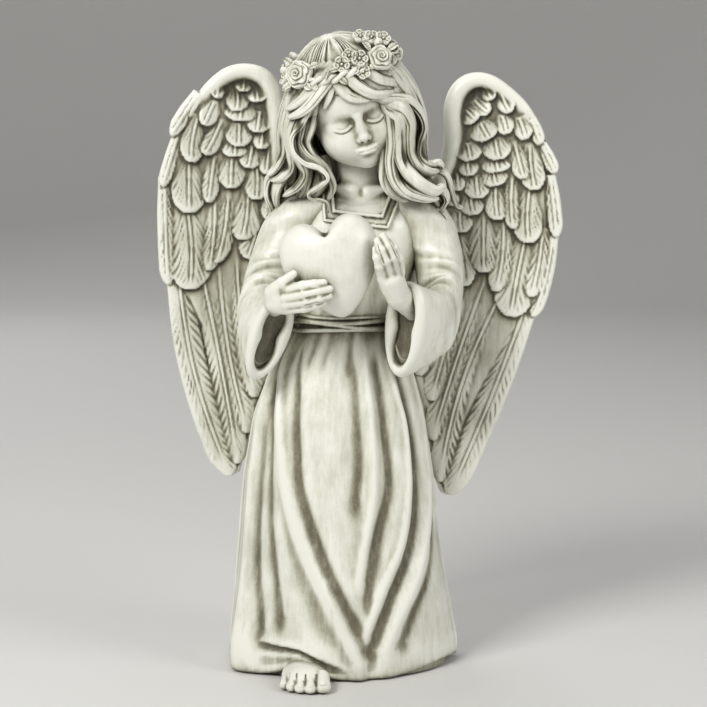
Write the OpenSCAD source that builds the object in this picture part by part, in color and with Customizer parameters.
// Resin angel figurine: a hollow gown casting with the head, hair, garland, arms, heart and wings
// glued on with tenons and steel dowels, closed by a base plate that stands on a sheet of felt.
// Millimetres. +Z is up and the figure faces -Y. The origin is on the table under the middle of
// the gown. Right and left are the figure's own, so its right hand is at -X.

/* [Figure] */
// Overall height of the standing figure
figure_h = 250; // [200:10:300]
// Wall of the hollow gown casting
wall = 3.4; // [2.8:0.2:4.2]
// Number of folds round the skirt
fold_count = 13; // [9:1:17]
// Depth of the skirt's folds at the hem
fold_depth = 1.1; // [0:0.1:1.6]

/* [Wings] */
// Thickness of a wing at its middle
wing_t = 7; // [5:0.5:8]
// Diameter of the steel dowels that hold the wings and the head
dowel_d = 3; // [2:0.5:4]

/* [Base] */
// Thickness of the felt sheet underneath
pad_t = 0.8; // [0.5:0.1:1.5]
// Distance of the felt's edge inside the hem
pad_inset = 7; // [5:1:12]
// Thickness of the base plate
plate_t = 3; // [2:0.5:5]
// Diameter of the pour hole's rubber plug
plug_d = 16; // [12:1:20]

/* [Hidden] */

scale_k = figure_h / 250; // every size below is for a figure 250 mm high
gap = 0.05; // glue gap round a dowel, a tenon and the base plate
resin = [0.76, 0.76, 0.70];
resin_shade = [0.66, 0.66, 0.59];
steel = "silver";

z_base = pad_t; // underside of the gown and the base plate
upper_x = 8.5; // the upper body stands to the figure's left of the skirt
ring_n = 40; // points round a large ring
small_n = 20; // points round a small ring

// --- lofting ---------------------------------------------------------------------------------

// A row is one oval section: [centre, half axis u, half axis v], nine numbers. u x v points the
// way the rows run.
function row(c, u, v) = [c[0], c[1], c[2], u[0], u[1], u[2], v[0], v[1], v[2]];
function flat_row(z, cx, cy, rx, ry) = row([cx, cy, z], [rx, 0, 0], [0, ry, 0]);
function row_point(r, a) =
    [for (k = [0:2]) r[k] + r[k + 3] * cos(a) + r[k + 6] * sin(a)];
function ring(r, n) = [for (i = [0:n - 1]) row_point(r, 360 * i / n)];

// Catmull-Rom values between rows b and c, and a list of rows with k steps from each to the next.
function between(a, b, c, d, t) = 0.5 * (2 * b + (c - a) * t
    + (2 * a - 5 * b + 4 * c - d) * t * t + (3 * b - a - 3 * c + d) * t * t * t);
function smooth(rows, k) = let (last = len(rows) - 1) [
    for (i = [0:last - 1], j = [0:k - 1])
        between(rows[max(i - 1, 0)], rows[i], rows[i + 1], rows[min(i + 2, last)], j / k),
    rows[last]
];

// A closed solid through rings that all have the same number of points. A looped one joins its
// last ring to its first, like a tyre, and has no end faces.
module loft(rings, looped = false) {
    n = len(rings[0]);
    m = len(rings);
    points = [for (r = rings, p = r) p];
    sides = [
        for (j = [0:looped ? m - 1 : m - 2], i = [0:n - 1])
            let (a = j * n + i, b = j * n + (i + 1) % n)
            let (d = (a + n) % (m * n), c = (b + n) % (m * n))
                for (f = [[a, d, c], [a, c, b]]) f
    ];
    ends = looped ? [] : [[for (i = [0:n - 1]) i], [for (i = [n - 1:-1:0]) (m - 1) * n + i]];
    polyhedron(points, concat(ends, sides), convexity = 6);
}
module loft_rows(rows, k = 3, n = small_n) {
    loft([for (r = smooth(rows, k)) ring(r, n)]);
}

// A tapering bar with round ends, such as a finger or a lock of hair.
module bar(a, b, ra, rb) {
    hull() {
        translate(a) sphere(ra, $fn = 16);
        translate(b) sphere(rb, $fn = 16);
    }
}

// A true round hole or pin from point a to point b.
module rod(a, b, d) {
    v = b - a;
    translate(a)
        rotate([0, acos(v[2] / norm(v)), atan2(v[1], v[0])])
            cylinder(h = norm(v), d = d, $fn = 48);
}

// --- gown ------------------------------------------------------------------------------------

// Sections of the gown from the hem to the shoulders: height, centre x and y, half width, half depth.
gown_rows = [
    [z_base, 1.5, -1, 46, 35],
    [8, 1.5, -1, 45.5, 34.5],
    [24, 1.0, -1, 43, 32.5],
    [50, 0, -1, 39.3, 29.5],
    [75, 0, -1, 37.2, 27],
    [100, 0, -1, 33.5, 23.5],
    [118, 1, -1, 28, 19.5],
    [134, 3.5, -1, 20.5, 15.5],
    [148, 6, -1, 21, 15.5],
    [164, 7.5, -1.5, 24, 16],
    [176, 8.5, -1, 24, 14.5],
    [184, 8.5, 0, 19, 12],
];
waist_z = 134;
cavity_top = 110; // the hollow ends below the arms
torso_from = 108;

// Folds fade out from the hem to the waist. Each fold has a ridge, a valley and two flanks.
gown_n = 4 * fold_count;
function fold(z, a) = fold_depth * max(0, 1 - z / waist_z) * cos(fold_count * a);
function gown_ring(r, inset = 0) = [
    for (i = [0:gown_n - 1]) let (a = 360 * i / gown_n, f = (inset > 0 ? 0 : fold(r[0], a)) - inset)
        [r[1] + (r[3] + f) * cos(a), r[2] + (r[4] + f) * sin(a), r[0]]
];
gown_levels = smooth(gown_rows, 2);
// The cavity's rings run down to the hem, and the outside's run up from it, so that the hollow
// casting is one closed skin.
module gown_casting() {
    n = len(gown_levels);
    inside = [for (i = [n - 1:-1:0]) if (gown_levels[i][0] <= cavity_top) gown_levels[i]];
    loft(concat(
        [for (r = inside) gown_ring(r, wall)],
        [for (r = gown_levels) gown_ring(r)]
    ));
}
// The body above the waist, as the pieces that lie against it see it.
module torso_skin() {
    loft([for (r = gown_levels) if (r[0] > torso_from) gown_ring(r)]);
}

// Seats that the wings' bosses and the heart are glued to.
back_seat_y = 11;
boss_x = [6, 15]; // distance of a boss's edges from the middle of the back
boss_z = [139, 157];
module wing_boss(side, y_low, y_high, play = 0) {
    x0 = upper_x + side * boss_x[0] - (side < 0 ? boss_x[1] - boss_x[0] : 0);
    translate([x0 - play, y_low, boss_z[0] - play])
        cube([boss_x[1] - boss_x[0] + 2 * play, y_high - y_low, boss_z[1] - boss_z[0] + 2 * play]);
}
dowel_z = [143.5, 152.5];
dowel_reach = [3, 18]; // y of a wing dowel's two ends
module wing_dowels(side, d) {
    for (z = dowel_z)
        rod([upper_x + side * 10, dowel_reach[0], z], [upper_x + side * 10, dowel_reach[1], z], d);
}
heart_dowel_ends = [[-1, -9, 160], [-1, -25, 160]];
module heart_dowel_rod(d) {
    rod(heart_dowel_ends[0], heart_dowel_ends[1], d);
}
neck_dowel_at = [8.1, -2.3];
neck_dowel_z = [172, 214];
module neck_dowel_rod(d) {
    translate([neck_dowel_at[0], neck_dowel_at[1], neck_dowel_z[0]])
        cylinder(h = neck_dowel_z[1] - neck_dowel_z[0], d = d, $fn = 48);
}

module gown() {
    color(resin) difference() {
        gown_casting();
        for (side = [-1, 1]) {
            wing_boss(side, back_seat_y, 30, gap);
            wing_dowels(side, dowel_d + 2 * gap);
        }
        heart_dowel_rod(dowel_d + 2 * gap);
        neck_dowel_rod(dowel_d + 2 * gap);
        translate([foot_x[0] - gap, -45, z_base - 1])
            cube([foot_x[1] - foot_x[0] + 2 * gap, 45 + foot_back_y, foot_h + 1]);
    }
}

module base_plate() {
    rim = gown_ring(gown_rows[0], wall + gap);
    color(resin_shade) difference() {
        translate([0, 0, z_base])
            linear_extrude(plate_t) polygon([for (p = rim) [p[0] * 0.993, p[1] * 0.993]]);
        translate([0, 0, z_base - 1]) cylinder(h = plate_t + 2, d = plug_d + 2 * gap, $fn = 64);
    }
}

module pour_plug() {
    color([0.2, 0.2, 0.2])
        translate([0, 0, z_base]) cylinder(h = plate_t + 1, d = plug_d, $fn = 64);
}

// One oval sheet of felt, glued over the base plate and the plug.
module felt_pad() {
    color([0.16, 0.2, 0.16])
        linear_extrude(pad_t) polygon([for (p = gown_ring(gown_rows[0], pad_inset)) [p[0], p[1]]]);
}

// The bare foot fills a notch in the hem: an instep and five toes, flat underneath.
foot_x = [-24, -6];
foot_h = 9;
foot_back_y = -30.4;
toe_x = [-8.7, -12.3, -15.5, -18.6, -21.4];
toe_y = [-48.5, -49.2, -48.6, -47.4, -45.6];
toe_r = [2.7, 2.1, 1.9, 1.8, 1.6];
module foot() {
    color(resin) {
        translate([foot_x[0], 0, z_base]) rotate([90, 0, 90]) linear_extrude(foot_x[1] - foot_x[0])
            polygon([
                [foot_back_y, 0], [foot_back_y, foot_h], [-35, 8.4], [-38.5, 7], [-42, 4.8], [-44.5, 3],
                [-45, 0],
            ]);
        for (i = [0:4])
            translate([toe_x[i], -40, z_base + toe_r[i]]) {
                rotate([90, 0, 0]) cylinder(h = -40 - toe_y[i], r = toe_r[i], $fn = 32);
                translate([0, toe_y[i] + 40, 0]) sphere(toe_r[i], $fn = 32);
            }
    }
}

// A sash round the high waist, as a band of even thickness.
sash_z = [129, 141];
sash_t = 1.6;
function thicker(r, t) = [r[0], r[1], r[2], r[3] + t, r[4] + t];
module sash() {
    levels = [for (r = gown_levels) if (r[0] > sash_z[0] && r[0] < sash_z[1] + 1) r];
    last = len(levels) - 1;
    color(resin_shade) loft(concat(
        [for (r = levels) gown_ring(thicker(r, sash_t))],
        [for (i = [last:-1:0]) gown_ring(levels[i])]
    ), looped = true);
}

// --- neckline, neck and head -------------------------------------------------------------------

// The square neckline band lies on the chest, which leans back.
collar_w = 4.6;
collar_t = 2;
module collar_outline(grow) {
    polygon([
        [-0.8 - grow, 190], [-0.6 - grow, 180 - grow], [17.6 + grow, 178 - grow], [22.4 + grow, 190],
    ]);
}
chest_lean = 22;
module collar() {
    color(resin) difference() {
        translate([0, -16.6, 174]) rotate([-chest_lean, 0, 0]) translate([0, 0, -174])
            rotate([90, 0, 0]) translate([0, 0, -3]) linear_extrude(3 + collar_t)
                difference() {
                    collar_outline(collar_w);
                    translate([0, 0.1]) collar_outline(0);
                }
        torso_skin();
        bust_skin();
    }
}

// Neck and bare chest. The chest stands on the gown's top and the neck ends under the jaw.
bust_z = 184;
neck_top = [7.4, -3, 207];
module bust_skin() {
    loft_rows([
        flat_row(bust_z, 8.5, -0.4, 17.5, 11.4),
        flat_row(188, 8.7, -0.8, 14, 10.4),
        flat_row(193, 8.6, -1.8, 9.6, 8.6),
        flat_row(200, 8, -2.6, 8, 7.8),
        row(neck_top, [7.9, 0, 0], [0, 7.8, 0]),
    ], 2, 22);
}
module bust() {
    color(resin) difference() {
        bust_skin();
        neck_dowel_rod(dowel_d + 2 * gap);
    }
}
module neck_dowel() {
    color(steel) neck_dowel_rod(dowel_d);
}

// The head has its own frame: origin at the middle of the skull, -Y to the nose, +Z to the crown.
head_c = [4.4, -7.5, 221.5];
head_roll = -17; // the crown leans to the figure's right
head_pitch = 15; // the face looks down
module in_head() {
    translate(head_c) rotate([0, head_roll, 0]) rotate([head_pitch, 0, 0]) children();
}
// Half widths and half depths of the skull from the chin to the crown.
head_rows = [
    flat_row(-22.5, 0, -11, 3.5, 3),
    flat_row(-20, 0, -9, 8.5, 8.5),
    flat_row(-13, 0, -5, 14, 13.8),
    flat_row(-4, 0, -1, 17.6, 18.2),
    flat_row(6, 0, 0, 18.4, 20),
    flat_row(15, 0, 0.6, 15.2, 17.4),
    flat_row(22, 0, 1, 5, 6),
];
module head_skin() {
    in_head() loft_rows(head_rows, 2, 28);
}
module head() {
    color(resin) difference() {
        union() {
            head_skin();
            in_head() translate([0, -17.6, -6.5]) rotate([14, 0, 0])
                cylinder(h = 7, r1 = 2.6, r2 = 1.2, $fn = 32);
        }
        neck_dowel_rod(dowel_d + 2 * gap);
        neck_socket();
    }
}
// The flat top of the neck is let into the underside of the skull.
module neck_socket() {
    translate([neck_top[0], neck_top[1], neck_top[2] - 50]) cylinder(h = 50 + gap, r = 8.3, $fn = 48);
}

// --- hair and garland --------------------------------------------------------------------------

band_z = 16.6; // height of the garland in the head's frame
band_y = 2; // its middle lies behind the head's axis
band_r = 18.4;
band_t = 1.5;
hair_split = 15.4; // the cap of hair begins here, and the side and back hair end
brow_y = -6; // the fringe lies in front of this plane, and the side hair behind it
// Cap of hair above the garland.
module hair_crown() {
    color(resin_shade) difference() {
        in_head() loft_rows([
            flat_row(hair_split, 0, 1.8, 16.6, 18.2),
            flat_row(17.2, 0, 1.7, 17.3, 19),
            flat_row(20.5, 0, 1.5, 15.6, 17.4),
            flat_row(24.5, 0, 1.2, 11, 12.6),
            flat_row(27.6, 0, 1.2, 4.6, 5.4),
        ], 2, 32);
        head_skin();
        vine_ring(band_t);
    }
}
module vine_ring(t) {
    in_head() translate([0, band_y, band_z]) rotate_extrude($fn = 96)
        translate([band_r, 0]) circle(t, $fn = 24);
}
module garland_vine() {
    color(resin) vine_ring(band_t);
}
// Bangs: two swept locks from the parting to the temples, below the garland.
module fringe() {
    color(resin_shade) difference() {
        in_head() {
            bar([-1, -17.6, 12.6], [-9.5, -17.2, 6.5], 2.6, 2.5);
            bar([-9.5, -17.2, 6.5], [-17.2, -8.6, 1], 2.5, 2.3);
            bar([-8, -16.4, 11.5], [-16.4, -9, 6], 2.6, 2.4);
            bar([1, -17.6, 12.6], [10, -17.2, 7.5], 2.6, 2.5);
            bar([10, -17.2, 7.5], [17.2, -8.6, 3], 2.5, 2.3);
            bar([8, -16.4, 11.5], [16.4, -9, 8], 2.6, 2.4);
        }
        head_skin();
        vine_ring(band_t);
    }
}

// The room above the side and back hair, which the cap of hair takes.
module above_split() {
    in_head() translate([-35, -35, hair_split]) cube([70, 70, 60]);
}
// Side hair falls from the temples in front of the shoulders.
module hair_side(rows, n = 16) {
    color(resin_shade) difference() {
        loft([for (r = smooth(rows, 3)) ring(r, n)]);
        head_skin();
        torso_skin();
        above_split();
        in_head() translate([-35, brow_y - 40, -2]) cube([70, 40, 60]);
    }
}
// Both run downwards, so their second half axis points forwards, to -Y.
module hair_right() {
    hair_side([
        row([-10, -2, 236], [6, 2, 0], [0, -9, 0]),
        row([-13, -3, 226], [7, 2, 0], [0, -10, 0]),
        row([-15, -5, 214], [7, 1.5, 0], [0, -11, 0]),
        row([-13, -8, 202], [7, 0, 0], [0, -9.5, 0]),
        row([-10.5, -12, 191], [6, 0, 0], [0, -6.5, 0]),
        row([-7.5, -18, 180], [3.2, 0, 0], [0, -3.2, 0]),
    ]);
}
module hair_left() {
    hair_side([
        row([18, -3, 236], [6, -2, 0], [0, -9, 0]),
        row([21.5, -4, 224], [7, -2, 0], [0, -10, 0]),
        row([25.5, -5, 211], [7.5, -1.5, 0], [0, -11, 0]),
        row([27.5, -6, 200], [7.5, 0, 0], [0, -9.5, 0]),
        row([33, -8, 190], [7.5, 0, 0], [0, -6.5, 0]),
        row([37.5, -9, 182], [3.6, 0, 0], [0, -3.6, 0]),
    ]);
}
// The back hair lies between the wings and ends in a point.
module hair_back() {
    color(resin_shade) difference() {
        loft_rows([
            row([0, 3.5, 242], [13, 0, 0], [0, -8, 0]),
            row([3, 8, 230], [18, 0, 0], [0, -9, 0]),
            row([6, 10, 216], [21, 0, 0], [0, -11, 0]),
            row([8.5, 11, 198], [19, 0, 0], [0, -11, 0]),
            row([8.5, 14, 184], [12.5, 0, 0], [0, -6.5, 0]),
            row([8.5, 15.5, 171], [5, 0, 0], [0, -4, 0]),
        ], 2, 24);
        bust_skin();
        head_skin();
        torso_skin();
        above_split();
    }
}

// A rose is a cup with a raised ring round a bud.
module rose(r) {
    rotate_extrude($fn = 48) polygon([
        [0, -0.5 * r], [0.7 * r, -0.5 * r], [r, 0], [0.95 * r, 0.35 * r], [0.62 * r, 0.1 * r],
        [0.55 * r, 0.55 * r], [0.3 * r, 0.3 * r], [0.2 * r, 0.75 * r], [0, 0.75 * r],
    ]);
}
// Five petals round a middle.
module blossom(r) {
    for (i = [0:4])
        rotate(72 * i) translate([0.58 * r, 0, 0]) sphere(0.46 * r, $fn = 24);
    translate([0, 0, 0.2 * r]) sphere(0.3 * r, $fn = 24);
}
// Puts a flower on the garland at an angle round the head, where 0 is at the nose and 90 is at
// the figure's left ear.
module on_garland(angle, lift = 0, out = 1.2) {
    in_head() translate([0, band_y, band_z + lift])
        rotate([0, 0, angle]) translate([0, -band_r - out, 0]) rotate([90, 0, 0]) children();
}
// What lies under the flowers: the hair inside the band, and the band.
module garland_core() {
    in_head() translate([0, band_y, -20]) cylinder(h = 70, r = band_r + 0.8, $fn = 96);
    vine_ring(band_t);
}
module rose_right() {
    color(resin) difference() {
        on_garland(-46, 2.4, 1) rose(5.4);
        garland_core();
    }
}
module rose_left() {
    color(resin) difference() {
        on_garland(41, 1, 3) rose(4.6);
        garland_core();
    }
}
blossom_angles = [-150, -118, -90, -6, 10, 52, 72, 92, 118, 145, 178];
module blossoms() {
    color(resin) difference() {
        for (a = blossom_angles) on_garland(a, 1, 2.2) blossom(3.6);
        garland_core();
    }
}

// --- arms and heart ------------------------------------------------------------------------------

// Each sleeve runs from the shoulder to the elbow, then turns forwards into a hanging bell cuff.
right_sleeve_rows = [
    row([-8, 0, 182], [0, -9, 0], [-6, 0, 4]),
    row([-16, -1, 177], [0, -10.5, 0], [-6, 0, 6.5]),
    row([-23, -3, 164], [0, -10.5, 0], [-8, 0, 4]),
    row([-27.5, -9, 149], [0, -9, 6], [-8, 0, 3]),
    row([-29, -18, 137], [0, -3, 12.5], [-8, -1, 0]),
    row([-26.5, -26, 133.5], [0.6, -4, 14.9], [-10, 2, -4]),
];
left_sleeve_rows = [
    row([25, 0, 182], [0, -9, 0], [-6, 0, -4]),
    row([33, -1, 177], [0, -10.5, 0], [-6, 0, -6.5]),
    row([38, -3, 163], [0, -10.5, 0], [-8, 0, -4]),
    row([40, -9, 147], [0, -9, 6], [-7.5, 0, -3]),
    row([37, -18, 137], [0, -3, 14], [-7.5, 1, 0]),
    row([27.5, -26, 136], [2.3, -4, 17.5], [-9.5, -2, 4]),
];
// The outside runs to the mouth of the cuff, and the hollow runs back from it.
cuff_scale = [0.84, 0.74, 0.5];
function thinner(r, k) = [for (i = [0:8]) i < 3 ? r[i] : r[i] * k];
module sleeve(rows) {
    out = smooth(rows, 2);
    m = len(out) - 1;
    hollow = [for (i = [0:2]) thinner(out[m - i], cuff_scale[i])];
    loft([for (r = concat(out, hollow)) ring(r, 24)]);
}
module sleeve_right() {
    color(resin) difference() {
        sleeve(right_sleeve_rows);
        torso_skin();
        arm_stub(right_arm, gap);
    }
}
module sleeve_left() {
    color(resin) difference() {
        sleeve(left_sleeve_rows);
        torso_skin();
        arm_stub(left_arm, gap);
    }
}

// A forearm is a round tenon from inside the sleeve to the wrist.
forearm_d = 8;
right_arm = [[-29, -11, 143], [-23, -34, 149]];
left_arm = [[38.5, -12, 142], [26.5, -32, 150]];
module arm_stub(arm, play = 0) {
    rod(arm[0], arm[1], forearm_d + 2 * play);
}
// A finger's root and tip, then its root radius.
right_fingers = [
    [[-13, -38, 155], [-4, -43.5, 156.5], 2.2],
    [[-12.5, -39, 152.4], [-3, -43.8, 153.6], 2.2],
    [[-13, -39, 149.8], [-4, -43.2, 150.6], 2.1],
    [[-14, -38, 147.2], [-6.6, -42, 147.8], 1.9],
    [[-20, -37, 153], [-14.4, -41, 158], 2.2],
];
left_fingers = [
    [[20.5, -36, 160], [14.6, -37, 170], 2.0],
    [[22.2, -34.5, 160.5], [17.2, -35, 171.5], 2.1],
    [[23.5, -33, 160.5], [19.4, -33, 170.5], 2.1],
    [[24.4, -31.5, 159.5], [21.4, -31, 168], 1.9],
    [[20.5, -37, 153], [17.4, -40, 160.5], 2.1],
];
module hand(arm, palm, fingers) {
    difference() {
        union() {
            arm_stub(arm);
            bar(arm[1], palm, 4.4, 4.6);
            for (f = fingers) bar(f[0], f[1], f[2], f[2] * 0.75);
        }
        heart_shape();
    }
}
module hand_right() {
    color(resin) hand(right_arm, [-16, -37, 151], right_fingers);
}
module hand_left() {
    color(resin) hand(left_arm, [23, -34.5, 157], left_fingers);
}

// A puffy heart with its point turned a little to the figure's left.
heart_c = [-2.6, -30.6, 164];
heart_tilt = -13;
module heart_shape() {
    translate(heart_c) rotate([0, heart_tilt, 0])
        for (side = [-1, 1]) hull() {
            translate([side * 8.2, 0, 1.6]) sphere(10, $fn = 32);
            translate([0, 0, -18]) sphere(4, $fn = 32);
        }
}
module heart() {
    color(resin) difference() {
        heart_shape();
        torso_skin();
        heart_dowel_rod(dowel_d + 2 * gap);
    }
}
module heart_dowel() {
    color(steel) heart_dowel_rod(dowel_d);
}

// --- wings ---------------------------------------------------------------------------------------

// Sections of each wing: height, then distance from the middle of the back and y of the inner and
// outer edge, then thickness as a share of wing_t. They run from the lower tip to the arch.
wing_upper = [
    [122, 12, 20.5, 62, 15, 1],
    [136, 6, 18, 68, 14.5, 1.1],
    [148, 4.5, 17, 73, 14, 1.15],
    [160, 8, 17, 76.5, 13, 1.2],
    [172, 17, 17.5, 78.2, 12, 1.2],
    [188, 26, 17, 78.6, 11, 1.25],
    [199, 29, 16, 77, 10.5, 1.3],
    [212, 31, 15, 73, 10.5, 1.3],
    [224, 32.5, 14.5, 65, 11, 1.25],
    [231, 36, 14, 58, 12, 1.1],
    [236, 42, 13.5, 49, 13, 0.7],
];
right_tip = [
    [70.2, 48, 16, 53, 16, 0.5],
    [78, 43, 18, 54, 16, 0.75],
    [94, 35, 20, 55.4, 16, 0.9],
    [108, 22, 21, 58, 15.5, 1],
];
left_tip = [
    [61.8, 33, 17, 37.4, 17, 0.5],
    [70, 29, 19, 40, 16.5, 0.75],
    [90, 25, 21, 45, 16, 0.9],
    [106, 20, 21.5, 52, 15.5, 1],
];
function wing_row(side, w) = let (half = (w[3] - w[1]) / 2)
    row([upper_x + side * (w[1] + half), (w[2] + w[4]) / 2, w[0]],
        [side * half, (w[4] - w[2]) / 2, 0], [0, side * w[5] * wing_t / 2, 0]);
module wing_shape(side) {
    rows = concat(side < 0 ? right_tip : left_tip, wing_upper);
    difference() {
        loft_rows([for (w = rows) wing_row(side, w)], 2, 28);
        torso_skin();
    }
}
module wing(side) {
    color(resin) difference() {
        union() {
            wing_shape(side);
            wing_boss(side, back_seat_y, 17);
        }
        wing_dowels(side, dowel_d + 2 * gap);
    }
}
module wing_right() {
    wing(-1);
}
module wing_left() {
    wing(1);
}
module wing_dowels_right() {
    color(steel) wing_dowels(-1, dowel_d);
}
module wing_dowels_left() {
    color(steel) wing_dowels(1, dowel_d);
}

// --- parts -----------------------------------------------------------------------------------------

scale(scale_k) {
    gown();
    base_plate();
    pour_plug();
    felt_pad();
    foot();
    sash();
    collar();
    bust();
    neck_dowel();
    head();
    hair_crown();
    fringe();
    hair_right();
    hair_left();
    hair_back();
    garland_vine();
    rose_right();
    rose_left();
    blossoms();
    sleeve_right();
    sleeve_left();
    hand_right();
    hand_left();
    heart();
    heart_dowel();
    wing_right();
    wing_left();
    wing_dowels_right();
    wing_dowels_left();
}
